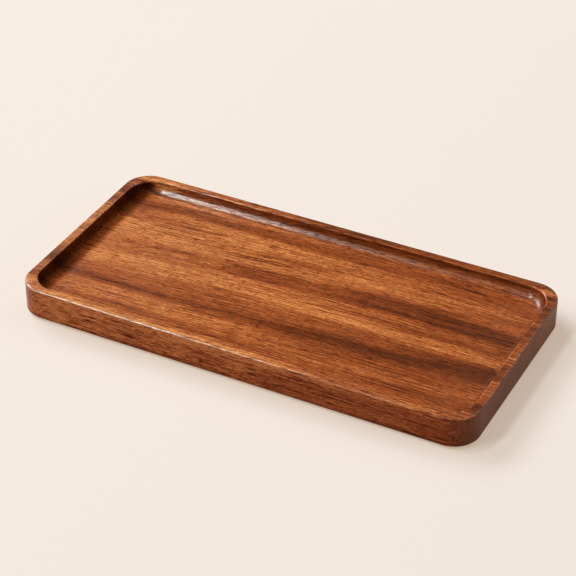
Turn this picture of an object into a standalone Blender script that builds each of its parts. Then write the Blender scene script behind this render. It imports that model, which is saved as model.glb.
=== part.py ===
"""Vanity tray: one routed hardwood board that stands on four recessed anti-slip pads.

The origin is on the surface that the tray stands on, under the middle of the board.
+X runs along the tray, +Y from its front edge to its back edge, and +Z up. Units are metres.
"""

import math

import bmesh
import bpy
from mathutils import Vector

MM = 0.001

# Board, as it comes off the router table
TRAY_LENGTH = 300 * MM
TRAY_WIDTH = 150 * MM
BOARD_THICKNESS = 20 * MM
CORNER_RADIUS = 17 * MM
BOTTOM_ROUND = 1.6 * MM

# Recess, cut by a template-guided bowl bit
RIM_WIDTH = 5.75 * MM
RECESS_DEPTH = 7.5 * MM
RECESS_CORNER_RADIUS = 16.6 * MM
COVE_RADIUS = 6 * MM

# Both arrises of the rim are eased with the same small round
RIM_EASE = 1 * MM

# Self-adhesive silicone pads, each let into a shallow counterbore
PAD_DIAMETER = 12 * MM
PAD_THICKNESS = 2 * MM
PAD_STAND = 1 * MM
PAD_EDGE_ROUND = 0.4 * MM
PAD_SETBACK = 22 * MM

# Clearances
PAD_SIDE_GAP = 0.3 * MM
ADHESIVE_FILM = 0.3 * MM
CUTTER_OVERRUN = 4 * MM

# Facets of the round stretches
CORNER_SEGMENTS = 12
COVE_SEGMENTS = 6
ROUND_SEGMENTS = 3
PAD_SIDES = 40

WOOD_COLOUR = (0.40, 0.115, 0.035, 1.0)
SILICONE_COLOUR = (0.035, 0.033, 0.031, 1.0)


def clear_scene():
    for old in list(bpy.data.objects):
        bpy.data.objects.remove(old, do_unlink=True)


def new_collection(name):
    collection = bpy.data.collections.new(name)
    bpy.context.scene.collection.children.link(collection)
    return collection


def new_material(name, colour, roughness):
    material = bpy.data.materials.new(name)
    material.use_nodes = True
    shader = material.node_tree.nodes["Principled BSDF"]
    shader.inputs["Base Color"].default_value = colour
    shader.inputs["Roughness"].default_value = roughness
    shader.inputs["Metallic"].default_value = 0.0
    material.diffuse_color = colour
    return material


def new_object(name, mesh, collection):
    thing = bpy.data.objects.new(name, mesh)
    collection.objects.link(thing)
    return thing


def mesh_from(bm, name):
    bmesh.ops.recalc_face_normals(bm, faces=bm.faces)
    mesh = bpy.data.meshes.new(name)
    bm.to_mesh(mesh)
    bm.free()
    return mesh


def upright_edges(bm):
    return [e for e in bm.edges if abs(e.verts[0].co.z - e.verts[1].co.z) > 0.5 * e.calc_length()]


def level_edges(bm, z):
    return [e for e in bm.edges if all(abs(v.co.z - z) < 0.01 * MM for v in e.verts)]


def round_edges(bm, edges, radius, segments):
    bmesh.ops.bevel(
        bm,
        geom=edges,
        affect="EDGES",
        offset=radius,
        offset_type="OFFSET",
        segments=segments,
        profile=0.5,
        clamp_overlap=True,
    )


def rounded_slab(name, length, width, height, corner_radius, bottom_radius, bottom_segments):
    """A slab with its base at z = 0, round corners in plan and a round along its bottom edge."""
    bm = bmesh.new()
    bmesh.ops.create_cube(bm, size=1)
    bmesh.ops.scale(bm, verts=bm.verts, vec=(length, width, height))
    bmesh.ops.translate(bm, verts=bm.verts, vec=(0, 0, height / 2))
    round_edges(bm, upright_edges(bm), corner_radius, CORNER_SEGMENTS)
    round_edges(bm, level_edges(bm, 0), bottom_radius, bottom_segments)
    return mesh_from(bm, name)


def disc(name, diameter, height, edge_round):
    """A disc with its base at z = 0, and a round along its bottom edge where one is asked for."""
    bm = bmesh.new()
    radius = diameter / 2
    bmesh.ops.create_cone(
        bm, cap_ends=True, segments=PAD_SIDES, radius1=radius, radius2=radius, depth=height
    )
    bmesh.ops.translate(bm, verts=bm.verts, vec=(0, 0, height / 2))
    if edge_round:
        round_edges(bm, level_edges(bm, 0), edge_round, ROUND_SEGMENTS)
    return mesh_from(bm, name)


def cut(thing, cutter):
    boolean = thing.modifiers.new(f"cut {cutter.name}", "BOOLEAN")
    boolean.operation = "DIFFERENCE"
    boolean.solver = "EXACT"
    boolean.object = cutter
    cutter.hide_render = True
    cutter.display_type = "WIRE"


def ease_arrises(thing):
    """Rounds the two square edges left on the rim. It comes before the pads' counterbores,
    whose edges stay square, and after the corner and cove rounds, whose facets meet at small angles."""
    ease = thing.modifiers.new("ease the rim", "BEVEL")
    ease.width = min(RIM_EASE, 0.45 * RIM_WIDTH)
    ease.segments = ROUND_SEGMENTS
    ease.limit_method = "ANGLE"
    ease.angle_limit = math.radians(60)


def pad_places():
    """Name and centre of each pad: the same setback from both edges at each corner."""
    x = TRAY_LENGTH / 2 - PAD_SETBACK
    y = TRAY_WIDTH / 2 - PAD_SETBACK
    for side, sign_y in (("front", -1), ("back", 1)):
        for end, sign_x in (("left", -1), ("right", 1)):
            yield f"{side}_{end}", Vector((sign_x * x, sign_y * y, 0))


def make_board(parts, cutters, wood):
    """The board stands PAD_STAND above the surface."""
    mesh = rounded_slab(
        "tray_board", TRAY_LENGTH, TRAY_WIDTH, BOARD_THICKNESS, CORNER_RADIUS, BOTTOM_ROUND, ROUND_SEGMENTS
    )
    mesh.materials.append(wood)
    board = new_object("tray_board", mesh, parts)
    board.location.z = PAD_STAND

    recess_mesh = rounded_slab(
        "recess_cutter",
        TRAY_LENGTH - 2 * RIM_WIDTH,
        TRAY_WIDTH - 2 * RIM_WIDTH,
        RECESS_DEPTH + CUTTER_OVERRUN,
        RECESS_CORNER_RADIUS,
        min(COVE_RADIUS, RECESS_DEPTH - RIM_EASE, RECESS_CORNER_RADIUS - 0.5 * MM),
        COVE_SEGMENTS,
    )
    recess = new_object("recess_cutter", recess_mesh, cutters)
    recess.location.z = PAD_STAND + BOARD_THICKNESS - RECESS_DEPTH
    cut(board, recess)
    ease_arrises(board)

    seat_depth = PAD_THICKNESS + ADHESIVE_FILM - PAD_STAND
    seat_mesh = disc("pad_seat_cutter", PAD_DIAMETER + 2 * PAD_SIDE_GAP, seat_depth + CUTTER_OVERRUN, 0)
    for place, centre in pad_places():
        seat = new_object(f"pad_seat_cutter_{place}", seat_mesh, cutters)
        seat.location = centre + Vector((0, 0, PAD_STAND - CUTTER_OVERRUN))
        cut(board, seat)
    return board


def make_pads(parts, silicone):
    mesh = disc("pad", PAD_DIAMETER, PAD_THICKNESS, PAD_EDGE_ROUND)
    mesh.materials.append(silicone)
    pads = []
    for place, centre in pad_places():
        pad = new_object(f"pad_{place}", mesh, parts)
        pad.location = centre
        pads.append(pad)
    return pads


def shade_round(thing):
    thing.data.shade_smooth()
    thing.data.set_sharp_from_angle(angle=math.radians(35))


def main():
    clear_scene()
    parts = new_collection("vanity_tray")
    cutters = new_collection("vanity_tray_cutters")
    tray = new_object("vanity_tray", None, parts)
    wood = new_material("oiled_wood", WOOD_COLOUR, 0.4)
    silicone = new_material("silicone", SILICONE_COLOUR, 0.6)
    pieces = [make_board(parts, cutters, wood)]
    pieces += make_pads(parts, silicone)
    for piece in pieces:
        shade_round(piece)
        piece.parent = tray


main()
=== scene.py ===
"""Looks of the vanity tray: one carved hardwood board standing on four silicone pads.

Lengths are in millimetres until a mesh or a lamp is made. +X runs along the tray, +Y from its
front edge to its back edge, and +Z up from the surface that it stands on.
"""

import math
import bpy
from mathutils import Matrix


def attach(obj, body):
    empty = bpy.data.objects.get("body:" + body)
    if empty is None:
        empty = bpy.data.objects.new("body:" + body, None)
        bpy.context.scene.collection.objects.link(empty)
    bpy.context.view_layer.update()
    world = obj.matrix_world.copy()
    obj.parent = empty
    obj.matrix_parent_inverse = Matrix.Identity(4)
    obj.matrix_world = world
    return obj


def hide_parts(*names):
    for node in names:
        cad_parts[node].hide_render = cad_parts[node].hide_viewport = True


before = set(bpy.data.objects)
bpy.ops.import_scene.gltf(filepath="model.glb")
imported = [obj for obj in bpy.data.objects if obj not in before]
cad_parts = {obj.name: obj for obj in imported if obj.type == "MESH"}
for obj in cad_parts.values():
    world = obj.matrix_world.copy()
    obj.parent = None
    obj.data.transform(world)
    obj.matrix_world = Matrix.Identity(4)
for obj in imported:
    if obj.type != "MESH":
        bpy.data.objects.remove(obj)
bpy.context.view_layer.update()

from types import SimpleNamespace

import bpy
import numpy as np
from mathutils import Matrix, Quaternion, Vector
from mathutils.geometry import tessellate_polygon

MM = 0.001

# The board, as the record's model has it
TRAY_LENGTH = 300.0
TRAY_WIDTH = 150.0
BOARD_BASE = 1.0
RIM_TOP = 21.0
CORNER_RADIUS = 17.0
BOTTOM_ROUND = 1.6
RIM_WIDTH = 5.75
RIM_EASE = 1.0
RECESS_FLOOR = 13.5
RECESS_CORNER_RADIUS = 16.6
COVE_RADIUS = 6.0

# The pads and the counterbores that hold them
PAD_RADIUS = 6.0
PAD_TOP = 2.0
PAD_FOOT_ROUND = 0.4
PAD_TOP_ROUND = 0.2
PAD_DISH_RADIUS = 4.6
PAD_DISH_DEPTH = 0.12
SEAT_RADIUS = 6.3
SEAT_TOP = 2.3
PAD_X = 128.0
PAD_Y = 53.0

# Facets of the round stretches
CORNER_STEPS = 24
ROUND_STEPS = 6
COVE_STEPS = 14
DISH_STEPS = 5
TURNED_STEPS = 64

# Width of the narrow flat beside each round, and the angle from which an edge is shaded sharp
FLAT_MARGIN = 0.15
SHARP_DEGREES = 40


# Shapes


def quarter_turn(steps):
    """Even bearings from 0 to a right angle."""
    return np.linspace(0.0, math.pi / 2, steps + 1)


def board_section():
    """The board's section from its underside, up the outer wall, over the rim and down to the floor.

    Each row holds how far that point is inset from the outer wall, its height, and the radius of the
    corner at that inset. A round is a quarter circle: the inset follows its sine or cosine, and the
    height the other one. Outside, the corner radius is the tray's less the inset. Inside, it is the
    recess's less the inset past the rim. A narrow flat beside each round keeps the flats' shading flat.
    """
    turn = quarter_turn(ROUND_STEPS)
    cove_turn = quarter_turn(COVE_STEPS)
    stretches = [
        ([BOTTOM_ROUND + FLAT_MARGIN], [BOARD_BASE]),
        (BOTTOM_ROUND * (1 - np.sin(turn)), BOARD_BASE + BOTTOM_ROUND * (1 - np.cos(turn))),
        ([0.0, 0.0], [BOARD_BASE + BOTTOM_ROUND + FLAT_MARGIN, RIM_TOP - RIM_EASE - FLAT_MARGIN]),
        (RIM_EASE * (1 - np.cos(turn)), RIM_TOP - RIM_EASE + RIM_EASE * np.sin(turn)),
        ([RIM_EASE + FLAT_MARGIN, RIM_WIDTH - RIM_EASE - FLAT_MARGIN], [RIM_TOP, RIM_TOP]),
        (RIM_WIDTH - RIM_EASE * (1 - np.sin(turn)), RIM_TOP - RIM_EASE * (1 - np.cos(turn))),
        (
            RIM_WIDTH + COVE_RADIUS * (1 - np.cos(cove_turn)),
            RECESS_FLOOR + COVE_RADIUS * (1 - np.sin(cove_turn)),
        ),
        ([RIM_WIDTH + COVE_RADIUS + FLAT_MARGIN], [RECESS_FLOOR]),
    ]
    inset = np.concatenate([np.asarray(part[0]) for part in stretches])
    height = np.concatenate([np.asarray(part[1]) for part in stretches])
    outside = CORNER_RADIUS - inset
    inside = RECESS_CORNER_RADIUS - (inset - RIM_WIDTH)
    steps_outside = sum(len(part[0]) for part in stretches[:4])
    is_outside = np.arange(len(inset)) < steps_outside
    return inset, height, np.where(is_outside, outside, inside)


def rounded_rectangle(inset, corner_radius):
    """Plan of the tray at each inset, anticlockwise from above: one quarter circle at each corner.

    A point is its corner's centre plus the corner radius times the cosine and sine of its bearing.
    """
    turn = quarter_turn(CORNER_STEPS)
    bearing = np.concatenate([turn + corner * math.pi / 2 for corner in range(4)])
    side_x = np.repeat([1.0, -1.0, -1.0, 1.0], CORNER_STEPS + 1)
    side_y = np.repeat([1.0, 1.0, -1.0, -1.0], CORNER_STEPS + 1)
    centre_x = TRAY_LENGTH / 2 - inset - corner_radius
    centre_y = TRAY_WIDTH / 2 - inset - corner_radius
    x = np.outer(centre_x, side_x) + np.outer(corner_radius, np.cos(bearing))
    y = np.outer(centre_y, side_y) + np.outer(corner_radius, np.sin(bearing))
    return x, y


def band_faces(rows, around):
    """Four-sided faces between each row of points and the next, closed round every row."""
    row = np.arange(rows - 1)[:, None] * around
    here = np.arange(around)[None, :]
    after = (here + 1) % around
    corners = np.stack([row + here, row + after, row + around + after, row + around + here], axis=-1)
    return corners.reshape(-1, 4)


def seat_rings():
    """Mouth and roof of the four pad seats: circles about each pad's centre at the two heights."""
    bearing = np.linspace(0, 2 * math.pi, TURNED_STEPS, endpoint=False)
    centres = [(x, y) for x in (-PAD_X, PAD_X) for y in (-PAD_Y, PAD_Y)]
    rings = []
    for height in (BOARD_BASE, SEAT_TOP):
        for centre_x, centre_y in centres:
            x = centre_x + SEAT_RADIUS * np.cos(bearing)
            y = centre_y + SEAT_RADIUS * np.sin(bearing)
            rings.append(np.column_stack([x, y, np.full(TURNED_STEPS, height)]))
    return rings


def carved_board_mesh():
    """The board: its section carried round the plan, a flat floor, and an underside with four seats.

    The rows of the section are joined by bands of faces. The underside is the plan's lowest row with
    the four seat mouths left out of it, cut into triangles, and each seat has an upright wall and a
    round roof.
    """
    inset, height, corner_radius = board_section()
    x, y = rounded_rectangle(inset, corner_radius)
    z = np.repeat(height[:, None], x.shape[1], axis=1)
    rows, around = x.shape
    loft = np.stack([x, y, z], axis=-1).reshape(-1, 3)
    rings = seat_rings()
    points = np.vstack([loft] + rings)

    faces = band_faces(rows, around).tolist()
    faces.append(list(range((rows - 1) * around, rows * around)))

    outline = [Vector(p) for p in loft[:around]]
    mouths = [[Vector(p) for p in ring] for ring in rings[:4]]
    pieces = np.array(tessellate_polygon([outline] + mouths))
    numbers = np.concatenate([np.arange(around), len(loft) + np.arange(4 * TURNED_STEPS)])
    pieces = numbers[pieces]
    first, second, third = (points[pieces[:, corner]] for corner in range(3))
    looks_up = np.cross(second - first, third - first)[:, 2] > 0
    pieces[looks_up] = pieces[looks_up][:, ::-1]
    faces += pieces.tolist()

    seat_wall = band_faces(2, TURNED_STEPS)
    for seat in range(4):
        mouth = len(loft) + seat * TURNED_STEPS
        roof = mouth + 4 * TURNED_STEPS
        wall = np.where(seat_wall < TURNED_STEPS, seat_wall + mouth, seat_wall - TURNED_STEPS + roof)
        faces += wall[:, ::-1].tolist()
        faces.append(list(range(roof, roof + TURNED_STEPS))[::-1])
    return points, faces


def pad_section():
    """Radius and height of a moulded pad, from the middle of its foot round to the middle of its top.

    The foot is a shallow dish: its height falls with the square of the radius to the ring that it
    stands on. Its lower edge is a quarter circle, and its upper edge a smaller one.
    """
    dish_radius = np.linspace(0.0, PAD_DISH_RADIUS, DISH_STEPS + 1)
    dish_height = PAD_DISH_DEPTH * (1 - (dish_radius / PAD_DISH_RADIUS) ** 2)
    turn = quarter_turn(ROUND_STEPS)
    radius = np.concatenate([
        dish_radius,
        [PAD_RADIUS - PAD_FOOT_ROUND - FLAT_MARGIN],
        PAD_RADIUS - PAD_FOOT_ROUND * (1 - np.sin(turn)),
        PAD_RADIUS - PAD_TOP_ROUND * (1 - np.cos(turn)),
        [PAD_RADIUS - PAD_TOP_ROUND - FLAT_MARGIN, 0.0],
    ])
    height = np.concatenate([
        dish_height,
        [0.0],
        PAD_FOOT_ROUND * (1 - np.cos(turn)),
        PAD_TOP - PAD_TOP_ROUND + PAD_TOP_ROUND * np.sin(turn),
        [PAD_TOP, PAD_TOP],
    ])
    return radius, height


def pad_mesh(centre_x, centre_y):
    """A turned pad: each point of its section is carried round the pad's centre."""
    radius, height = pad_section()
    bearing = np.linspace(0, 2 * math.pi, TURNED_STEPS, endpoint=False)
    x = centre_x + np.outer(radius[1:-1], np.cos(bearing))
    y = centre_y + np.outer(radius[1:-1], np.sin(bearing))
    z = np.repeat(height[1:-1, None], TURNED_STEPS, axis=1)
    rows = len(radius) - 2
    loft = np.stack([x, y, z], axis=-1).reshape(-1, 3)
    points = np.vstack([loft, [centre_x, centre_y, height[0]], [centre_x, centre_y, height[-1]]])
    here = np.arange(TURNED_STEPS)
    after = (here + 1) % TURNED_STEPS
    last_row = (rows - 1) * TURNED_STEPS
    foot = np.column_stack([after, here, np.full(TURNED_STEPS, len(loft))])
    top = np.column_stack([last_row + here, last_row + after, np.full(TURNED_STEPS, len(loft) + 1)])
    faces = band_faces(rows, TURNED_STEPS).tolist() + foot.tolist() + top.tolist()
    return points, faces


def new_piece(name, points, faces, finish):
    """A piece at the origin, smooth but for edges sharper than SHARP_DEGREES."""
    mesh = bpy.data.meshes.new(name)
    mesh.from_pydata((points * MM).tolist(), [], faces)
    mesh.update()
    mesh.shade_smooth()
    mesh.set_sharp_from_angle(angle=math.radians(SHARP_DEGREES))
    mesh.materials.append(finish)
    piece = bpy.data.objects.new(name, mesh)
    bpy.context.scene.collection.objects.link(piece)
    return piece


# Finishes


def feed(tree, socket, value):
    """Joins a socket to another one, or sets it to a plain number or colour."""
    if isinstance(value, bpy.types.NodeSocket):
        tree.links.new(value, socket)
    else:
        socket.default_value = value


def calc(tree, operation, *values, clamp=False):
    node = tree.nodes.new("ShaderNodeMath")
    node.operation = operation
    node.use_clamp = clamp
    for socket, value in zip(node.inputs, values):
        feed(tree, socket, value)
    return node.outputs[0]


def plus(tree, *values):
    total = values[0]
    for value in values[1:]:
        total = calc(tree, "ADD", total, value)
    return total


def times(tree, *values):
    product = values[0]
    for value in values[1:]:
        product = calc(tree, "MULTIPLY", product, value)
    return product


def rest_of(tree, share):
    """1 less a share."""
    return calc(tree, "SUBTRACT", 1.0, share)


def less(tree, whole, share, amount=1.0):
    """What is left of a whole after a share of some amount is taken from it. Below 0 it is added."""
    return times(tree, whole, rest_of(tree, times(tree, share, amount)))


def stretched_to(tree, value, low, high, new_low, new_high, soft=False):
    """Carries the range low to high onto the range new_low to new_high, held at both ends."""
    node = tree.nodes.new("ShaderNodeMapRange")
    node.interpolation_type = "SMOOTHSTEP" if soft else "LINEAR"
    node.clamp = True
    for socket, number in zip(node.inputs, (value, low, high, new_low, new_high)):
        feed(tree, socket, number)
    return node.outputs[0]


def fades_in(tree, value, start, end):
    """0 before the start, rising softly to 1 at the end."""
    return stretched_to(tree, value, start, end, 0.0, 1.0, soft=True)


def place(tree, x, y, z):
    node = tree.nodes.new("ShaderNodeCombineXYZ")
    for socket, value in zip(node.inputs, (x, y, z)):
        feed(tree, socket, value)
    return node.outputs[0]


def taken_apart(tree, vector):
    node = tree.nodes.new("ShaderNodeSeparateXYZ")
    feed(tree, node.inputs[0], vector)
    return tuple(node.outputs)


def mottle(tree, where, detail, distortion=0.0):
    """Even noise about zero, one blotch for each unit of the place that it is given."""
    node = tree.nodes.new("ShaderNodeTexNoise")
    node.normalize = True
    feed(tree, node.inputs["Vector"], where)
    node.inputs["Scale"].default_value = 1.0
    node.inputs["Detail"].default_value = detail
    node.inputs["Distortion"].default_value = distortion
    return plus(tree, node.outputs["Fac"], -0.5)


# A drawn line runs from this far left of the tray's middle to this far right of it
CURVE_REACH = 160.0

# The largest value, either way, that a line of places, of tones or of edge tones can take
PLACE_SPAN = 100.0
TONE_SPAN = 1.0
EDGE_SPAN = 4.0


def drawn_line(tree, reach, points, span):
    """A smooth line drawn through a few (place along the board, value) points."""
    node = tree.nodes.new("ShaderNodeFloatCurve")
    curve = node.mapping.curves[0]
    while len(curve.points) < len(points):
        curve.points.new(0.5, 0.5)
    for knot, (along, value) in zip(curve.points, points):
        knot.location = ((along + CURVE_REACH) / (2 * CURVE_REACH), 0.5 + 0.5 * value / span)
        knot.handle_type = "AUTO_CLAMPED"
    node.mapping.update()
    feed(tree, node.inputs["Value"], reach)
    return calc(tree, "MULTIPLY_ADD", node.outputs[0], 2 * span, -span)


def colour_ramp(tree, value, stops):
    node = tree.nodes.new("ShaderNodeValToRGB")
    ramp = node.color_ramp
    ramp.interpolation = "LINEAR"
    while len(ramp.elements) < len(stops):
        ramp.elements.new(0.5)
    for element, (position, colour) in zip(ramp.elements, stops):
        element.position = position
        element.color = (*colour, 1.0)
    feed(tree, node.inputs["Fac"], value)
    return node.outputs["Color"]


def mixed(tree, share, first, second, blend="MIX"):
    """The first colour where the share is 0, and its blend with the second one where it is 1."""
    node = tree.nodes.new("ShaderNodeMix")
    node.data_type = "RGBA"
    node.blend_type = blend
    feed(tree, node.inputs["Factor"], share)
    feed(tree, node.inputs["A"], first)
    feed(tree, node.inputs["B"], second)
    return node.outputs["Result"]


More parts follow.
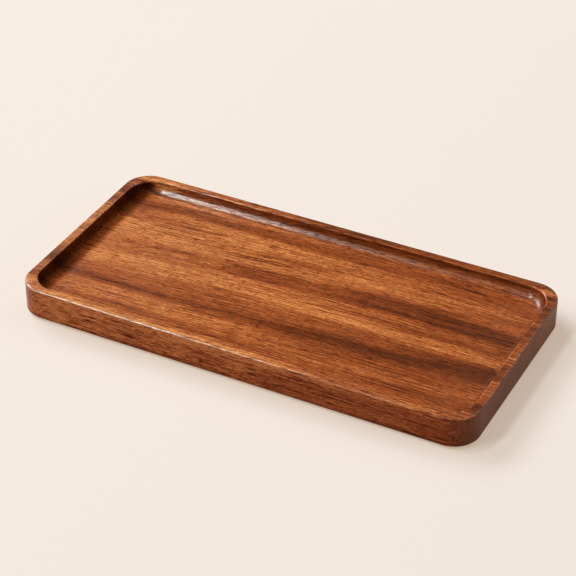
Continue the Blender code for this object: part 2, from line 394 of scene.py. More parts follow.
# Dark streaks of heartwood, and some pale ones, which have a depth below 0; two bands among them are
# painted shade down the back wall and painted light on the front face. Each has a back edge and a front
# edge, drawn along the board through (x, y) points on the recess floor, and a depth drawn along it from
# 0, unseen, to 1, black. Each edge fades over its own width.
STREAKS = (
    {
        "name": "streak beside the back wall",
        "back_edge": ((-150, 66.5), (-120, 63.5), (-95, 65.5), (-45, 68.5), (20, 70.5), (150, 78)),
        "front_edge": ((-150, 46), (-120, 46.5), (-95, 48), (-20, 47.5), (30, 49), (80, 50), (150, 43)),
        "depth": (
            (-150, 0.59), (-80, 0.60), (-30, 0.46), (0, 0.43),
            (60, 0.39), (110, 0.25), (150, 0.09),
        ),
        "back_fade": 12.0,
        "front_fade": 6.5,
    },
    {
        "name": "short streak behind the middle",
        "back_edge": ((-150, 45.5), (-40, 41.5), (20, 41.5), (150, 43.5)),
        "front_edge": ((-150, 31), (-30, 30.5), (20, 29.5), (150, 30)),
        "depth": (
            (-150, 0.39), (-52, 0.00), (-32, 0.23), (-5, 0.28),
            (25, 0.01), (80, 0.00), (115, 0.26), (150, 0.00),
        ),
        "back_fade": 5.0,
        "front_fade": 5.0,
    },
    {
        "name": "wide wedge of dark heartwood",
        "back_edge": ((-150, 8), (-95, 17), (-45, 22), (-10, 28), (30, 33), (60, 32), (150, 26.5)),
        "front_edge": ((-150, 1), (-95, 2), (-45, 5), (-5, -1.5), (50, 7), (110, 6.5), (150, 5)),
        "depth": (
            (-150, 0.30), (-95, 0.40), (-45, 0.14), (0, 0.12),
            (50, 0.39), (90, 0.46), (138, 0.56), (146, 0.3),
        ),
        "back_fade": 6.0,
        "front_fade": 9.0,
    },
    {
        "name": "dark line along the back of the wedge",
        "back_edge": ((-150, 20.5), (-45, 20.5), (0, 23), (40, 27), (150, 29.5)),
        "front_edge": ((-150, 0.5), (-45, 3.5), (0, 9), (40, 14), (150, 18.5)),
        "depth": ((-150, 0.00), (-60, 0.11), (-40, 0.41), (0, 0.41), (70, 0.29), (150, 0.15)),
        "back_fade": 4.0,
        "front_fade": 8.5,
    },
    {
        "name": "dark line along the front of the wedge",
        "back_edge": ((-150, 1), (-45, 12), (0, 15), (50, 18.5), (150, 20)),
        "front_edge": ((-150, -0.5), (-45, 2), (0, 4), (50, 8.5), (150, 12)),
        "depth": ((-150, 0.06), (-60, 0.37), (-20, 0.46), (40, 0.43), (100, 0.57), (150, 0.05)),
        "back_fade": 4.5,
        "front_fade": 8.0,
    },
    {
        "name": "thin streak in front of the wedge",
        "back_edge": ((-150, 10), (40, 8), (80, 8.5), (150, 11.5)),
        "front_edge": ((-150, -8.5), (60, -1), (150, -2.5)),
        "depth": ((-150, 0.19), (30, 0.14), (60, 0.58), (100, 0.48), (150, 0.20)),
        "back_fade": 6.5,
        "front_fade": 6.0,
    },
    {
        "name": "broad band that darkens to the right",
        "back_edge": ((-150, -18), (-110, -12.5), (-60, -9.5), (-20, -7), (30, -5.5), (150, -3.5)),
        "front_edge": ((-150, -47.5), (-90, -41), (-20, -41), (30, -40), (80, -38.5), (150, -32)),
        "depth": (
            (-150, 0.35), (-70, 0.36), (-20, 0.36), (30, 0.36),
            (70, 0.38), (110, 0.51), (138, 0.62), (146, 0.40),
        ),
        "back_fade": 12.0,
        "front_fade": 9.0,
    },
    {
        "name": "dark core of that band",
        "back_edge": ((-150, -30), (-90, -30), (-20, -26), (40, -21), (80, -18.5), (150, -12)),
        "front_edge": ((-150, -45), (-80, -43), (-20, -40), (40, -36.5), (80, -34.5), (150, -20)),
        "depth": (
            (-150, 0.50), (-95, 0.62), (-45, 0.50), (0, 0.53),
            (50, 0.54), (100, 0.40), (150, 0.00),
        ),
        "back_fade": 6.5,
        "front_fade": 9.0,
    },
    {
        "name": "streak beside the front wall",
        "back_edge": ((-150, -47), (-60, -47), (20, -44.5), (150, -41)),
        "front_edge": ((-150, -62), (-90, -63.5), (0, -64), (150, -60.5)),
        "depth": ((-150, 0.72), (-90, 0.48), (-20, 0.52), (40, 0.26), (90, 0.27), (150, 0.42)),
        "back_fade": 12.5,
        "front_fade": 7.5,
    },
    {
        "name": "faint streak behind the left end of the wedge",
        "back_edge": ((-150, 52), (-60, 53.5), (150, 52.5)),
        "front_edge": ((-150, 41.5), (-60, 31), (150, 39)),
        "depth": ((-150, 0.42), (-95, 0.19), (-60, 0.01), (0, 0.04), (150, 0.08)),
        "back_fade": 1.0,
        "front_fade": 7.5,
    },
    {
        "name": "pale wood behind the wedge",
        "back_edge": ((-150, 35.5), (-60, 35.5), (20, 45.5), (150, 51)),
        "front_edge": ((-150, 18), (-60, 22), (20, 24), (150, 36.5)),
        "depth": ((-150, -0.05), (-95, 0.14), (-40, 0.21), (40, -0.09), (100, -0.21), (150, 0.06)),
        "back_fade": 7.5,
        "front_fade": 4.5,
    },
    {
        "name": "pale band between the wedge and the broad band",
        "back_edge": ((-150, -9.5), (-60, -1.5), (20, 2), (90, 2.5), (150, 2.5)),
        "front_edge": ((-150, -15.5), (-60, -11.5), (20, -13), (150, -13)),
        "depth": ((-150, 0.16), (-90, -0.15), (0, -0.12), (80, -0.35), (150, -0.29)),
        "back_fade": 10.0,
        "front_fade": 3.0,
    },
    {
        "name": "dusky wood in front of the broad band",
        "back_edge": ((-150, -39), (-20, -33), (60, -29), (150, -29)),
        "front_edge": ((-150, -55.5), (-20, -53), (150, -46.5)),
        "depth": ((-150, 0.13), (-60, 0.16), (0, 0.26), (60, 0.28), (150, 0.03)),
        "back_fade": 4.0,
        "front_fade": 9.0,
    },
    {
        # Painted light on the front face, strongest towards the left, with a little painted shade at the
        # right end
        "name": "painted light on the front face",
        "back_edge": ((-150, -77), (150, -77)),
        "front_edge": ((-150, -98), (150, -98)),
        "depth": (
            (-150, 0.0), (-137, -0.05), (-122, -0.22), (-110, -0.2),
            (-60, -0.12), (0, -0.04), (150, 0.04),
        ),
        "back_fade": 2.0,
        "front_fade": 4.0,
    },
    {
        "name": "pale wood along the front rim",
        "back_edge": ((-150, -69.5), (150, -69.5)),
        "front_edge": ((-150, -74.3), (150, -74.3)),
        "depth": (
            (-150, -0.05), (-90, -0.1), (-45, -0.28), (5, -0.25),
            (40, 0.0), (80, 0.2), (110, -0.35), (150, -0.1),
        ),
        "back_fade": 1.5,
        "front_fade": 0.8,
    },
    {
        "name": "dark line along the inner edge of the front rim",
        "back_edge": ((-150, -67), (150, -67)),
        "front_edge": ((-150, -70.6), (150, -70.6)),
        "depth": (
            (-150, 0.0), (-95, 0.0), (-75, 0.28), (-25, 0.4), (10, 0.1),
            (60, 0.0), (85, 0.1), (110, 0.35), (150, 0.2),
        ),
        "back_fade": 1.0,
        "front_fade": 0.8,
    },
    {
        "name": "dark streak along the back rim",
        "back_edge": ((-150, 79), (-90, 80), (-40, 84), (150, 90)),
        "front_edge": ((-150, 76), (-80, 74), (-40, 70), (150, 67)),
        "depth": ((-150, 0.25), (-90, 0.2), (-45, 0.35), (-15, 0.6), (40, 0.45), (150, 0.3)),
        "back_fade": 3.0,
        "front_fade": 4.0,
    },
    {
        # Painted shade down the back wall of the recess, turning lighter at its right end
        "name": "painted shade down the back wall",
        "back_edge": ((-150, 67), (-130, 67.5), (-118, 69.3), (-100, 71.7), (150, 71.7)),
        "front_edge": ((-150, 62), (0, 63), (150, 66)),
        "depth": (
            (-150, 0.8), (-118, 0.7), (-95, 0.35), (-45, 0.3), (-15, 0.35),
            (20, 0.2), (60, 0.0), (110, -0.5), (150, -0.5),
        ),
        "back_fade": 1.5,
        "front_fade": 3.5,
    },
    {
        "name": "pale wood at the top of the back wall",
        "back_edge": ((-150, 70.6), (150, 70.6)),
        "front_edge": ((-150, 67.6), (150, 67.6)),
        "depth": (
            (-150, 0.0), (-138, -0.6), (-130, -0.9), (-115, -0.8),
            (-103, -0.3), (-80, -0.15), (-50, 0.0), (150, 0.0),
        ),
        "back_fade": 0.8,
        "front_fade": 1.2,
    },
    {
        "name": "pale wood at the foot of the back wall",
        "back_edge": ((-150, 69), (150, 69)),
        "front_edge": ((-150, 59), (150, 60)),
        "depth": (
            (-150, 0.0), (-20, 0.0), (10, 0.0), (50, -0.15),
            (90, -0.3), (127, -0.35), (150, -0.3),
        ),
        "back_fade": 3.0,
        "front_fade": 3.0,
    },
    {
        "name": "pale middle of the left rim",
        "back_edge": ((-150, 20), (150, 20)),
        "front_edge": ((-150, -25), (150, -25)),
        "depth": ((-150, -0.18), (-143, -0.18), (-139, 0.0), (150, 0.0)),
        "back_fade": 4.0,
        "front_fade": 4.0,
    },
    {
        "name": "dark band at the back of the right rim",
        "back_edge": ((-150, 56), (150, 56)),
        "front_edge": ((-150, 34), (150, 34)),
        "depth": ((-150, 0.0), (139, 0.0), (144, 0.4), (150, 0.4)),
        "back_fade": 3.0,
        "front_fade": 3.0,
    },
    {
        "name": "dark line on the right rim behind the wedge",
        "back_edge": ((-150, 32), (150, 32)),
        "front_edge": ((-150, 22), (150, 22)),
        "depth": ((-150, 0.0), (139, 0.0), (144, 0.35), (150, 0.35)),
        "back_fade": 2.5,
        "front_fade": 2.5,
    },
    {
        "name": "dark middle of the right rim",
        "back_edge": ((-150, -22), (150, -22)),
        "front_edge": ((-150, -31), (150, -31)),
        "depth": ((-150, 0.0), (139, 0.0), (144, 0.5), (150, 0.5)),
        "back_fade": 3.0,
        "front_fade": 3.0,
    },
    {
        "name": "dark front end of the right rim",
        "back_edge": ((-150, -52), (150, -52)),
        "front_edge": ((-150, -66), (150, -66)),
        "depth": ((-150, 0.0), (139, 0.0), (144, 0.5), (150, 0.5)),
        "back_fade": 4.0,
        "front_fade": 3.0,
    },
)

# How light the board is along its length, away from the streaks
BASE_TONE = (
    (-150, 0.58), (-139, 0.61), (-132, 0.67), (-110, 0.69), (-60, 0.64),
    (-10, 0.63), (40, 0.53), (90, 0.45), (150, 0.42),
)

# Painted light: how much lighter the long outer faces are near their top, along the board; below 0 they
# are darker, a painted shade
FACE_TOP_PAINTED_LIGHT_AND_SHADE = (
    (-150, 0.15), (-90, 0.25), (-20, 0.5), (40, 0.75),
    (80, 0.45), (115, 0.5), (135, -0.1), (150, -0.1),
)

# Painted shade: how much darker the front edge of the rim is than the board, along the board; below 0 it
# is lighter, a painted light
FRONT_EDGE_PAINTED_SHADE_AND_LIGHT = (
    (-150, 0.5), (-50, 0.5), (0, 0.0), (50, 0.1), (75, 0.4),
    (105, -0.9), (125, -0.6), (140, 0.0), (150, 0.0),
)

# Painted highlight on the front edge of the rim: how far a pale colour covers the wood there, along the
# board; 3 covers nearly all of it
FRONT_EDGE_PAINTED_HIGHLIGHT = (
    (-150, 1.9), (-90, 2.7), (-60, 3.0), (-30, 2.0),
    (0, 0.9), (30, 0.2), (60, 0.0), (150, 0.0),
)

# How much thinner the varnish lies on the rim and in the recess, along the board; below 0 it is thicker
THIN_VARNISH = (
    (-150, -0.17), (-131, -0.17), (-118, 0.06), (-95, -0.06), (-50, 0.17),
    (0, 0.3), (110, 0.3), (125, 0.05), (150, 0.05),
)

# The grain climbs towards the back from left to right and levels out
GRAIN_CLIMB = ((-150, 0), (-60, 7), (20, 12.5), (80, 14), (150, 14.5))

# A growth layer lies this much further forward for each millimetre that it is higher
LAYER_LEAN = 0.1

# Heights are stretched by this much before they are held against the depths in FIGURE
HEIGHT_STRETCH = 1.1

# Each kind of figure in the wood: its length along the grain, its width across it and its depth
# through the layers, in millimetres, then how many finer sizes it holds and how far it curls
FIGURE = {
    "slow_wave": (60.0, 26.0, 40.0, 1.0, 0.0),
    "feather": (16.0, 1.0, 1.5, 2.0, 0.0),
    "broad": (90.0, 8.0, 14.0, 2.0, 0.0),
    "fine": (60.0, 1.0, 1.1, 2.0, 0.0),
    "fibre": (9.5, 0.62, 0.5, 2.0, 0.3),
    "dash": (2.6, 0.45, 0.4, 1.0, 0.2),
    "pore": (6.0, 0.5, 0.35, 1.0, 0.2),
    "face_streak": (90.0, 1.4, 30.0, 3.0, 0.0),
}

# How far the slow wave and the feathering shift a streak's edges, and the wave the fibres
STREAK_WAVE = 3.0
STREAK_FEATHER = 6.5
FIBRE_WAVE = 4.0

# The long outer faces show the streaks of a place this much further out
FACE_SHIFT = 12.0

# How much each size of figure varies the tone, how dark a pore is, where in its noise it starts and is
# full, and how much of the finer figure end grain loses
BROAD_AMOUNT = 0.6
FINE_AMOUNT = 2.2
FIBRE_AMOUNT = 1.9
DASH_AMOUNT = 1.6
PORE_SHADE = 0.6
PORE_START = 0.06
PORE_FULL = 0.19
END_GRAIN_CALM = 0.6

# How much deeper the dark side of the fibres is than their light side, and what makes up for it
DARK_SIDE = 3.2
FIGURE_LIFT = 1.13

# End grain on the two outer ends takes up more oil, so the streaks drown in an even tone. It goes from
# the first of these tones to the second between the two places across the board, lighter towards the
# back as a painted sheen
END_GRAIN_PLACES = (-10.0, 60.0)
END_GRAIN_TONES_AND_SHEEN = (0.25, 0.36)

# Painted shade: how much darker the inner end walls are, partly for their end grain, and the inner long
# walls, the painted shadow of the left wall and the back edge of the rim; and painted light: how much
# lighter the eased edges over the inner end walls are
INNER_END_GRAIN_AND_PAINTED_SHADE = 0.6
INNER_SIDE_PAINTED_SHADE = 0.35
LEFT_WALL_SHADOW_DARKNESS = 0.55
BACK_EDGE_PAINTED_SHADE = 1.3
END_EDGE_PAINTED_LIGHT = 1.0

# The long outer faces: heights between which a painted light on their top sets in, and between which a
# painted shade at their foot fades out; that shade's two places along the board and its value at each;
# and the strength of their own fine streaks
FACE_TOP = (15.5, 19.5)
FACE_FOOT = (1.5, 5.5)
FACE_FOOT_PLACES = (-20.0, 60.0)
FACE_FOOT_PAINTED_SHADE = (-0.55, -0.3)
FACE_STREAK_AMOUNT = 0.6

# A painted shadow of the left wall lies beside it in the recess. It fades in from that wall over the
# first stretch along the board and out over the second, and in from the long walls over the last
# stretch, across the board
LEFT_SHADOW_WALL = (-145.0, -143.5)
LEFT_SHADOW_EDGE = (-137.5, -132.0)
LEFT_SHADOW_SIDES = (69.5, 68.0)

# A flat face leans less than this, and a wall counts as upright by this power of its steepness
FLAT_ENOUGH = 0.002
UPRIGHT_POWER = 3.5

# Heights between which each of these starts: the inner walls, the hollow that holds the painted shadow
# of the left wall and the thinner varnish, and the eased outer edges
INNER_WALLS_START = (RIM_TOP - 0.2, RIM_TOP - 1.2)
HOLLOW_START = (RIM_TOP - 0.3, RIM_TOP - 2.0)
EASED_EDGE_START = (RIM_TOP - 1.1, RIM_TOP - 0.9)

# How sharply a place sets in as the face turns out along the board, out across it, or inwards, and how
# sharply the painted highlight on the front edge does
END_GRAIN_TURN = 1.3
LONG_FACE_TURN = 2.0
INWARD_TURN = 1.2
PAINTED_HIGHLIGHT_TURN = 0.5

# Oiled wood from its darkest to its lightest, against the tone that gives each
WOOD_COLOURS = (
    (0.00, (0.020, 0.005, 0.002)),
    (0.10, (0.090, 0.020, 0.005)),
    (0.20, (0.190, 0.042, 0.009)),
    (0.30, (0.290, 0.065, 0.014)),
    (0.40, (0.390, 0.092, 0.020)),
    (0.50, (0.490, 0.126, 0.030)),
    (0.65, (0.640, 0.206, 0.056)),
    (0.90, (0.830, 0.325, 0.095)),
    (1.00, (0.900, 0.372, 0.115)),
)
LONG_FACE_TINT = (1.0, 0.76, 0.8, 1.0)
# Pale colour of the painted highlight on the front edge of the rim
PAINTED_HIGHLIGHT_COLOUR = (0.60, 0.42, 0.31, 1.0)

# What each place takes off the varnish, whose full weight is 1
OUTER_WALL_THINNING = 0.62
LONG_FACE_THINNING = 0.28
RECESS_THINNING = 0.17
INNER_END_THINNING = 0.5
LEFT_WALL_SHADOW_THINNING = 0.9
PORE_THINNING = 0.6
RIM_LINE_THINNING = 0.8

# The left end of the outer walls has more varnish, from the first of these places to the second
LEFT_END_PLACES = (-132.0, -146.0)
LEFT_END_VARNISH = 0.45

WOOD_ROUGHNESS = 0.42
FIBRE_ROUGHNESS = 0.3
PORE_ROUGHNESS = 0.25
VARNISH_ROUGHNESS = 0.15
VARNISH_IOR = 1.75

# Height of the fibres, the fine figure and the pores in millimetres
FIBRE_RELIEF = 0.08
FINE_RELIEF = 0.08
PORE_RELIEF = -0.05


def turned(tree, facing, power):
    """0 where a face looks away or up, rising to 1 where it looks straight out."""
    return calc(tree, "POWER", calc(tree, "MAXIMUM", facing, 0.0), power)


def board_places(tree):
    """Where a point of the board is, in millimetres, which way it faces, and which places it belongs to.

    reach runs from 0 to 1 along the board, for the drawn lines. out_along and out_across say how far
    the point faces away from the board's middle, along the board and across it. outside is 1 where it
    faces away at all, and inside is 1 everywhere else. upright is how steep it is on the outside: 0 on
    the rim, 1 on the outer walls. The other places are shares from 0 to 1: a power of how far the
    point faces that way, times how far it lies past the heights and places at which they start.
    """
    at = SimpleNamespace()
    coordinates = tree.nodes.new("ShaderNodeTexCoord")
    geometry = tree.nodes.new("ShaderNodeNewGeometry")
    x, y, z = taken_apart(tree, coordinates.outputs["Object"])
    face_x, face_y, face_z = taken_apart(tree, geometry.outputs["Normal"])
    at.along = times(tree, x, 1 / MM)
    at.y = times(tree, y, 1 / MM)
    at.z = times(tree, z, 1 / MM)
    at.reach = stretched_to(tree, at.along, -CURVE_REACH, CURVE_REACH, 0.0, 1.0)

    at.out_along = times(tree, face_x, calc(tree, "SIGN", x))
    at.out_across = times(tree, face_y, calc(tree, "SIGN", y))
    at.outside = calc(tree, "GREATER_THAN", plus(tree, at.out_along, at.out_across), FLAT_ENOUGH)
    at.inside = rest_of(tree, at.outside)
    steep = calc(tree, "SUBTRACT", 1.0, times(tree, face_z, face_z), clamp=True)
    at.upright = times(tree, at.outside, calc(tree, "POWER", steep, UPRIGHT_POWER))
    at.long_face = turned(tree, at.out_across, LONG_FACE_TURN)
    at.end_grain = times(tree, at.upright, turned(tree, at.out_along, END_GRAIN_TURN))

    inward_end = turned(tree, times(tree, at.out_along, -1.0), INWARD_TURN)
    inward_side = turned(tree, times(tree, at.out_across, -1.0), INWARD_TURN)
    below_edge = fades_in(tree, at.z, *INNER_WALLS_START)
    above_wall = rest_of(tree, below_edge)
    at.inner_end = times(tree, inward_end, below_edge)
    at.inner_side = times(tree, inward_side, below_edge)
    # The eased edges over the inner end walls, which get a painted light
    at.rubbed_edge = times(tree, inward_end, above_wall)
    at.rim_line = times(tree, inward_side, above_wall)

    at.below_rim = fades_in(tree, at.z, *HOLLOW_START)
    # The painted shadow of the left wall, in the hollow beside it
    near_end = stretched_to(tree, at.along, *LEFT_SHADOW_EDGE, 1.0, 0.0, soft=True)
    in_recess = stretched_to(tree, calc(tree, "ABSOLUTE", at.y), *LEFT_SHADOW_SIDES, 0.0, 1.0)
    past_wall = stretched_to(tree, at.along, *LEFT_SHADOW_WALL, 0.0, 1.0)
    at.pooled_oil = times(tree, at.below_rim, near_end, in_recess, past_wall)

    on_ease = stretched_to(tree, at.z, *EASED_EDGE_START, 0.0, 1.0)
    outer_edge = times(tree, on_ease, turned(tree, at.out_across, 1.0), rest_of(tree, at.long_face))
    in_front = calc(tree, "LESS_THAN", at.y, 0.0)
    at.back_edge = times(tree, outer_edge, rest_of(tree, in_front))
    at.front_edge = times(tree, outer_edge, in_front)
    return at


def kind_of_figure(tree, kind, along, across, through):
    """Noise drawn out along the grain, at the size that FIGURE gives for its kind."""
    length, width, depth, detail, distortion = FIGURE[kind]
    where = place(
        tree,
        times(tree, along, 1 / length),
        times(tree, across, 1 / width),
        times(tree, through, 1 / depth),
    )
    return mottle(tree, where, detail, distortion)


def board_figure(tree, at):
    """How the growth layers and the fibres run through the board.

    level is the place across the board that a point's layer has on the recess floor, as layers lean.
    The fibres follow the climb of the grain and a slow wave. across is the place that picks a streak:
    the level, shifted by the wave, by the feathering, and outwards on the long outer faces.
    """
    figure = SimpleNamespace()
    height = plus(tree, at.z, -RECESS_FLOOR)
    figure.level = plus(tree, at.y, times(tree, height, LAYER_LEAN))
    layer = times(tree, height, HEIGHT_STRETCH)
    climb = drawn_line(tree, at.reach, GRAIN_CLIMB, PLACE_SPAN)
    grain = calc(tree, "SUBTRACT", figure.level, climb)

    slow_wave = kind_of_figure(tree, "slow_wave", at.along, grain, layer)
    feather = kind_of_figure(tree, "feather", at.along, grain, layer)
    figure.across = plus(
        tree,
        figure.level,
        times(tree, slow_wave, STREAK_WAVE),
        times(tree, feather, STREAK_FEATHER),
        times(tree, at.long_face, calc(tree, "SIGN", at.y), FACE_SHIFT),
    )

    fibres_at = plus(tree, grain, times(tree, slow_wave, FIBRE_WAVE))
    figure.broad = kind_of_figure(tree, "broad", at.along, fibres_at, layer)
    figure.fine = kind_of_figure(tree, "fine", at.along, fibres_at, layer)
    figure.fibre = kind_of_figure(tree, "fibre", at.along, fibres_at, layer)
    figure.dash = kind_of_figure(tree, "dash", at.along, fibres_at, layer)
    pore_field = kind_of_figure(tree, "pore", at.along, fibres_at, layer)
    figure.pore = fades_in(tree, pore_field, PORE_START, PORE_FULL)
    return figure


def streak(tree, reach, across, shape):
    """How dark one streak is: its depth, faded in behind its front edge and out before its back edge."""
    back_edge = drawn_line(tree, reach, shape["back_edge"], PLACE_SPAN)
    front_edge = drawn_line(tree, reach, shape["front_edge"], PLACE_SPAN)
    depth = drawn_line(tree, reach, shape["depth"], TONE_SPAN)
    from_back = calc(tree, "SUBTRACT", back_edge, across)
    from_front = calc(tree, "SUBTRACT", across, front_edge)
    inside_back = fades_in(tree, from_back, 0.0, shape["back_fade"])
    inside_front = fades_in(tree, from_front, 0.0, shape["front_fade"])
    darkness = times(tree, inside_back, inside_front, depth)
    darkness.node.label = shape["name"]
    return darkness


def varied(tree, noise, amount):
    """1 plus an amount of a noise, whose dark side is made deeper than its light side, as pores make it.

    The noise is multiplied by 1 less DARK_SIDE times the noise, which pulls both of its ends down.
    """
    bent = times(tree, noise, rest_of(tree, times(tree, noise, DARK_SIDE)))
    return plus(tree, 1.0, times(tree, bent, amount))


def block_tone(tree, at, figure):
    """How light the wood is in the solid block.

    It is the board's own lightness times what each streak leaves of it, two of them being painted shade
    and painted light, drowned in an even tone on the end grain that grows lighter towards the back as a
    painted sheen, times four sizes of fibre from broad to fine, and darkened by the pores.
    """
    tone = drawn_line(tree, at.reach, BASE_TONE, TONE_SPAN)
    for shape in STREAKS:
        tone = less(tree, tone, streak(tree, at.reach, figure.across, shape))
    # The end grain's tone grows lighter towards the back, a painted sheen
    end_tone_and_sheen = stretched_to(tree, at.y, *END_GRAIN_PLACES, *END_GRAIN_TONES_AND_SHEEN)
    tone = plus(tree, tone, times(tree, at.end_grain, calc(tree, "SUBTRACT", end_tone_and_sheen, tone)))

    calm = rest_of(tree, times(tree, at.end_grain, END_GRAIN_CALM))
    tone = times(
        tree,
        tone,
        plus(tree, 1.0, times(tree, figure.broad, BROAD_AMOUNT)),
        varied(tree, times(tree, figure.fine, calm), FINE_AMOUNT),
        varied(tree, times(tree, figure.fibre, calm), FIBRE_AMOUNT),
        varied(tree, times(tree, figure.dash, calm), DASH_AMOUNT),
        FIGURE_LIFT,
    )
    return less(tree, tone, figure.pore, PORE_SHADE)


def cut_tone(tree, at, figure):
    """How light the wood is once the tray is cut from the block and oiled.

    The inner walls get painted shade, the end ones partly for their end grain, the edges over the inner
    end walls painted light, and the recess beside the left wall a painted shadow. The long outer faces
    get painted light at their top and painted shade at their foot, with fine streaks of their own. The
    rim's outer edges get painted light and shade of their own.
    """
    tone = block_tone(tree, at, figure)
    # Painted shade on the inner walls, the end ones partly for their end grain
    tone = less(tree, tone, at.inner_end, INNER_END_GRAIN_AND_PAINTED_SHADE)
    tone = less(tree, tone, at.inner_side, INNER_SIDE_PAINTED_SHADE)
    # Painted light on the eased edges over the inner end walls
    tone = less(tree, tone, at.rubbed_edge, -END_EDGE_PAINTED_LIGHT)
    # The painted shadow of the left wall
    tone = less(tree, tone, at.pooled_oil, LEFT_WALL_SHADOW_DARKNESS)

    # Painted light at the top of the long outer faces and painted shade at their foot, with their own
    # streaks
    face_top_painted_light = drawn_line(tree, at.reach, FACE_TOP_PAINTED_LIGHT_AND_SHADE, EDGE_SPAN)
    face_foot_painted_shade = stretched_to(tree, at.along, *FACE_FOOT_PLACES, *FACE_FOOT_PAINTED_SHADE)
    face_streak = kind_of_figure(tree, "face_streak", at.along, at.z, figure.level)
    face_painted_light_shade_and_streaks = plus(
        tree,
        stretched_to(tree, at.z, *FACE_TOP, 0.0, face_top_painted_light, soft=True),
        stretched_to(tree, at.z, *FACE_FOOT, face_foot_painted_shade, 0.0, soft=True),
        times(tree, face_streak, FACE_STREAK_AMOUNT),
    )
    tone = less(tree, tone, times(tree, at.long_face, face_painted_light_shade_and_streaks), -1.0)

    # Painted shade and light along the front edge of the rim
    front_edge_painted_shade_and_light = drawn_line(tree, at.reach, FRONT_EDGE_PAINTED_SHADE_AND_LIGHT, EDGE_SPAN)
    # Painted shade on the back edge of the rim
    tone = less(tree, tone, at.back_edge, BACK_EDGE_PAINTED_SHADE)
    return less(tree, tone, times(tree, at.front_edge, front_edge_painted_shade_and_light))


def wood_colour(tree, at, tone):
    """Colour of the wood by its tone, redder on the long outer faces, with a painted highlight in a pale
    colour on the front edge.
    """
    redder_share = times(tree, at.upright, at.out_across, at.out_across)
    oiled = mixed(tree, redder_share, colour_ramp(tree, tone, WOOD_COLOURS), LONG_FACE_TINT, "MULTIPLY")
    # A painted highlight on the front edge of the rim, mixed in as a pale colour
    painted_highlight = times(
        tree,
        at.front_edge,
        turned(tree, at.out_across, PAINTED_HIGHLIGHT_TURN),
        drawn_line(tree, at.reach, FRONT_EDGE_PAINTED_HIGHLIGHT, EDGE_SPAN),
    )
    return mixed(tree, painted_highlight, oiled, PAINTED_HIGHLIGHT_COLOUR)


def varnish_weight(tree, at, figure):
    """How thick the varnish lies: 1 less what each place takes off it, and never below 0.

    The left end of the outer walls has some more of it.
    """
    long_face_share = times(tree, at.out_across, at.out_across)
    wall_thinning = plus(tree, -OUTER_WALL_THINNING, times(tree, long_face_share, -LONG_FACE_THINNING))
    left_end = stretched_to(tree, at.along, *LEFT_END_PLACES, 0.0, LEFT_END_VARNISH)
    weight = plus(
        tree,
        1.0,
        times(tree, at.upright, wall_thinning),
        times(tree, at.inside, at.below_rim, -RECESS_THINNING),
        times(tree, at.inner_end, -INNER_END_THINNING),
        # Less varnish under the painted shadow of the left wall
        times(tree, at.pooled_oil, -LEFT_WALL_SHADOW_THINNING),
        times(tree, figure.pore, -PORE_THINNING),
        times(tree, at.inside, drawn_line(tree, at.reach, THIN_VARNISH, TONE_SPAN), -1.0),
        times(tree, at.rim_line, -RIM_LINE_THINNING),
        times(tree, at.upright, left_end),
    )
    return calc(tree, "MAXIMUM", weight, 0.0)


def set_relief(tree, shader, height, distance, strength, sockets):
    """Raises the surface in the named sockets of the shader by a height, in units of the distance."""
    bump = tree.nodes.new("ShaderNodeBump")
    bump.inputs["Strength"].default_value = strength
    bump.inputs["Distance"].default_value = distance
    feed(tree, bump.inputs["Height"], height)
    for socket in sockets:
        feed(tree, shader.inputs[socket], bump.outputs["Normal"])


def oiled_wood_finish():
    """Oiled and varnished hardwood, its grain along X, as one solid block that the tray is cut from.

    A tone gives the colour: that of the block, changed by how the tray is cut and oiled and by painted
    light and shade. The front edge of the rim has a painted highlight in a pale colour. The wood itself
    is dull, and its gloss is the varnish over it, thinner on the outer walls, in the pores and in parts
    of the recess. The fibres vary its roughness and stand in relief, and the pores are rougher and sunk.
    """
    finish = bpy.data.materials.new("oiled_wood_grain")
    finish.use_nodes = True
    tree = finish.node_tree
    shader = tree.nodes["Principled BSDF"]
    at = board_places(tree)
    figure = board_figure(tree, at)
    tone = cut_tone(tree, at, figure)
    roughness = plus(
        tree,
        WOOD_ROUGHNESS,
        times(tree, figure.fibre, FIBRE_ROUGHNESS),
        times(tree, figure.pore, PORE_ROUGHNESS),
    )
    feed(tree, shader.inputs["Base Color"], wood_colour(tree, at, tone))
    feed(tree, shader.inputs["Roughness"], roughness)
    feed(tree, shader.inputs["Coat Weight"], varnish_weight(tree, at, figure))
    shader.inputs["Specular IOR Level"].default_value = 0.0
    shader.inputs["Coat Roughness"].default_value = VARNISH_ROUGHNESS
    shader.inputs["Coat IOR"].default_value = VARNISH_IOR
    relief = plus(
        tree,
        times(tree, figure.fibre, FIBRE_RELIEF),
        times(tree, figure.fine, FINE_RELIEF),
        times(tree, figure.pore, PORE_RELIEF),
    )
    set_relief(tree, shader, relief, distance=MM, strength=1.0, sockets=("Normal", "Coat Normal"))
    return finish


SILICONE_COLOURS = (
    (0.0, (0.022, 0.021, 0.020)),
    (0.5, (0.035, 0.033, 0.031)),
    (1.0, (0.062, 0.059, 0.055)),
)
SILICONE_ROUGHNESS = 0.6
SILICONE_SPECULAR = 0.4

# The moulded grain and the dust: how many blotches there are in a millimetre, how many finer sizes
# they hold, how much of each goes into the shade, how much the dust roughens the skin, how high the
# grain stands in millimetres, and how strongly that shows
GRAIN_BLOTCHES = 3.0
DUST_BLOTCHES = 0.7
GRAIN_DETAIL = 2.0
DUST_DETAIL = 3.0
GRAIN_SHADE = 0.7
DUST_SHADE = 0.9
DUST_ROUGHNESS = 0.3
GRAIN_HEIGHT = 0.05
GRAIN_STRENGTH = 0.6


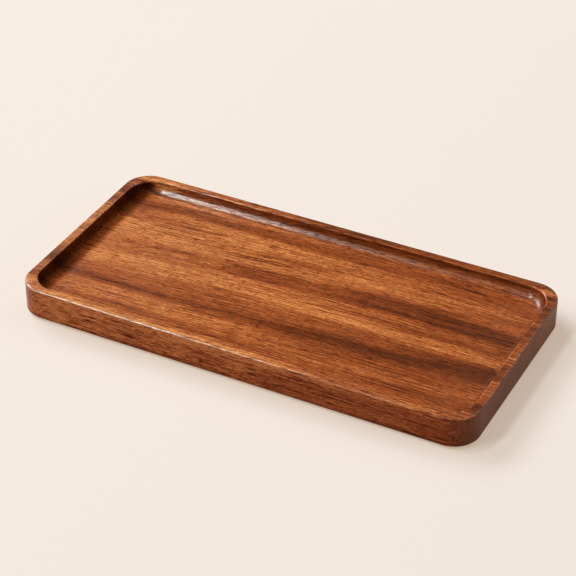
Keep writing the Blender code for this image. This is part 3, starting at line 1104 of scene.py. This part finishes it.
def silicone_finish():
    """Dark grey silicone rubber: a fine moulded grain, a little dust on it, and a dull skin.

    Its shade is half way up the colours, plus some of the grain and more of the dust.
    """
    finish = bpy.data.materials.new("anti_slip_silicone")
    finish.use_nodes = True
    tree = finish.node_tree
    shader = tree.nodes["Principled BSDF"]
    coordinates = tree.nodes.new("ShaderNodeTexCoord")
    sides = [times(tree, side, 1 / MM) for side in taken_apart(tree, coordinates.outputs["Object"])]
    grain_place = place(tree, *(times(tree, side, GRAIN_BLOTCHES) for side in sides))
    dust_place = place(tree, *(times(tree, side, DUST_BLOTCHES) for side in sides))
    moulded = mottle(tree, grain_place, GRAIN_DETAIL)
    dust = mottle(tree, dust_place, DUST_DETAIL)
    shade = plus(tree, 0.5, times(tree, moulded, GRAIN_SHADE), times(tree, dust, DUST_SHADE))
    feed(tree, shader.inputs["Base Color"], colour_ramp(tree, shade, SILICONE_COLOURS))
    roughness = plus(tree, SILICONE_ROUGHNESS, times(tree, dust, DUST_ROUGHNESS))
    feed(tree, shader.inputs["Roughness"], roughness)
    shader.inputs["Specular IOR Level"].default_value = SILICONE_SPECULAR
    set_relief(
        tree,
        shader,
        moulded,
        distance=GRAIN_HEIGHT * MM,
        strength=GRAIN_STRENGTH,
        sockets=("Normal",),
    )
    return finish


PAPER_COLOUR = (0.462, 0.482, 0.490, 1.0)
PAPER_GLOW = (0.455, 0.345, 0.262, 1.0)
PAPER_ROUGHNESS = 0.9


def pale_floor_finish():
    """Warm white studio paper.

    The camera and the gloss see its lit colour plus an even glow, so its shadow is soft and warm. The
    glow isn't there for any other ray, so it doesn't light the wood.
    """
    finish = bpy.data.materials.new("pale_studio_floor")
    finish.use_nodes = True
    tree = finish.node_tree
    shader = tree.nodes["Principled BSDF"]
    shader.inputs["Base Color"].default_value = PAPER_COLOUR
    shader.inputs["Roughness"].default_value = PAPER_ROUGHNESS
    shader.inputs["Specular IOR Level"].default_value = 0.0
    shader.inputs["Emission Color"].default_value = PAPER_GLOW
    path = tree.nodes.new("ShaderNodeLightPath")
    seen = calc(tree, "MAXIMUM", path.outputs["Is Camera Ray"], path.outputs["Is Glossy Ray"])
    feed(tree, shader.inputs["Emission Strength"], seen)
    return finish


# Studio

FLOOR_REACH = 6000.0


def lay_floor():
    """A flat sheet of paper, far larger than the camera's view."""
    sides = np.array([(-1, -1, 0), (1, -1, 0), (1, 1, 0), (-1, 1, 0)])
    mesh = bpy.data.meshes.new("studio_floor")
    mesh.from_pydata((sides * FLOOR_REACH * MM).tolist(), [], [(0, 1, 2, 3)])
    mesh.materials.append(pale_floor_finish())
    floor = bpy.data.objects.new("studio_floor", mesh)
    bpy.context.scene.collection.objects.link(floor)


def towards(azimuth, elevation):
    """Unit vector from the tray to a place: azimuth 0 is in front of it, and 90 is past its right end."""
    turn = math.radians(azimuth)
    rise = math.radians(elevation)
    return Vector((math.sin(turn) * math.cos(rise), -math.cos(turn) * math.cos(rise), math.sin(rise)))


# Where each lamp stands, in degrees round the tray and above it and in metres from it, its width and
# height in metres, and its watts. A tilt lifts its left end by that many degrees
LAMPS = {
    "window_softbox": {
        "stands_at": (-104, 38, 6.0),
        "size": (5.20, 2.00),
        "watts": 268.0,
        "colour": (1.0, 0.985, 1.045),
    },
    "highlight_strip": {
        "stands_at": (-52, 55, 6.0),
        "size": (4.70, 0.60),
        "watts": 158.0,
        "colour": (1.0, 1.02, 0.93),
        "tilt": 45,
    },
    "overhead_softbox": {"stands_at": (-80, 68, 5.0), "size": (3.40, 3.40), "watts": 12.0},
    "back_fill": {"stands_at": (165, 48, 5.0), "size": (3.00, 3.00), "watts": 30.0},
    "right_fill": {"stands_at": (98, 28, 5.0), "size": (4.20, 2.80), "watts": 28.0},
}
WHITE = (1.0, 1.0, 1.0)
AIR_COLOUR = (1.0, 0.98, 0.96, 1.0)
AIR_STRENGTH = 0.08


def hang_lamp(name, stands_at, size, watts, colour=WHITE, tilt=0.0):
    """A rectangular lamp that faces the middle of the tray."""
    azimuth, elevation, distance = stands_at
    lamp = bpy.data.lights.new(name, "AREA")
    lamp.shape = "RECTANGLE"
    lamp.size, lamp.size_y = size
    lamp.energy = watts
    lamp.color = colour
    stand = bpy.data.objects.new(name, lamp)
    bpy.context.scene.collection.objects.link(stand)
    away = towards(azimuth, elevation)
    stand.location = away * distance
    stand.rotation_mode = "QUATERNION"
    stand.rotation_quaternion = away.to_track_quat("Z", "Y") @ Quaternion((0, 0, 1), math.radians(-tilt))


def light_studio():
    for name, lamp in LAMPS.items():
        hang_lamp(name, **lamp)
    world = bpy.data.worlds.new("studio_air")
    world.use_nodes = True
    background = world.node_tree.nodes["Background"]
    background.inputs["Color"].default_value = AIR_COLOUR
    background.inputs["Strength"].default_value = AIR_STRENGTH
    bpy.context.scene.world = world


# The photo's viewpoint, fitted to the tray's outline: degrees, metres, and a lens in millimetres
CAMERA_AZIMUTH = 26.6904
CAMERA_ELEVATION = 34.66574
CAMERA_ROLL = 0.48257
CAMERA_DISTANCE = 1.27935
CAMERA_TARGET = (-0.0144, 0.0257, 0.0)
CAMERA_LENS = 127.9
SENSOR_WIDTH = 36


def place_camera():
    """Looks at the target from the fitted bearing, rolled about its own line of sight."""
    camera = bpy.data.cameras.new("photo_camera")
    camera.sensor_width = SENSOR_WIDTH
    camera.lens = CAMERA_LENS
    stand = bpy.data.objects.new("photo_camera", camera)
    bpy.context.scene.collection.objects.link(stand)
    back = towards(CAMERA_AZIMUTH, CAMERA_ELEVATION)
    turn = math.radians(CAMERA_AZIMUTH)
    level_right = Vector((math.cos(turn), math.sin(turn), 0))
    level_up = back.cross(level_right)
    roll = math.radians(CAMERA_ROLL)
    right = level_right * math.cos(roll) + level_up * math.sin(roll)
    up = level_up * math.cos(roll) - level_right * math.sin(roll)
    pose = Matrix((right, up, back)).transposed().to_4x4()
    pose.translation = Vector(CAMERA_TARGET) + back * CAMERA_DISTANCE
    stand.matrix_world = pose
    bpy.context.scene.camera = stand


def dress_tray():
    points, faces = carved_board_mesh()
    board = new_piece("carved_board", points, faces, oiled_wood_finish())
    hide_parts("tray_board")
    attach(board, "root")
    silicone = silicone_finish()
    for side, centre_y in (("front", -PAD_Y), ("back", PAD_Y)):
        for end, centre_x in (("left", -PAD_X), ("right", PAD_X)):
            points, faces = pad_mesh(centre_x, centre_y)
            pad = new_piece(f"moulded_pad_{side}_{end}", points, faces, silicone)
            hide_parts(f"pad_{side}_{end}")
            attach(pad, "root")


dress_tray()
lay_floor()
light_studio()
place_camera()
bpy.context.scene.view_settings.view_transform = "Standard"
